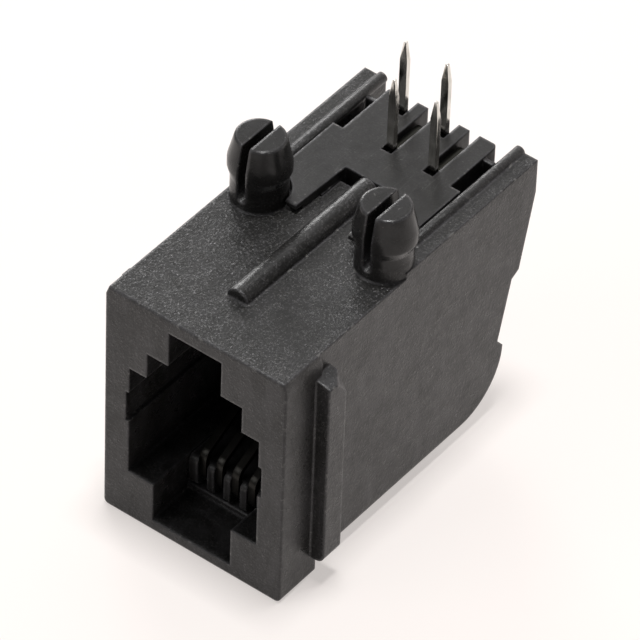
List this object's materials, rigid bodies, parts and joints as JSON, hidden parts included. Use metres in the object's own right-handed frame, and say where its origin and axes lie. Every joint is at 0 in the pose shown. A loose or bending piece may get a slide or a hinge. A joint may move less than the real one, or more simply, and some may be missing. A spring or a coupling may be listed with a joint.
{
  "type": "modular jack",
  "caption": "Board-mounted modular jack with a stepped plug opening, split snap pegs, panel-stop ribs and a rear insert that carries four bent spring contacts",
  "frame": {"origin": "midway between the two snap pegs, on the plane where the circuit board sits", "axes": "+Z points out of the board side, into the board; +Y is the way the plug goes in; +X is to the right for someone looking into the opening"},
  "size_m": [0.0126, 0.02, 0.0196],
  "materials": {
    "housing": "moulded, lightly grained",
    "insert": "smooth moulded",
    "contact": "tin plated"
  },
  "bodies": {
    "root": {"housing": "housing", "contact_insert": "insert", "contact_1": "contact", "contact_2": "contact", "contact_3": "contact", "contact_4": "contact"}
  },
  "joints": []
}
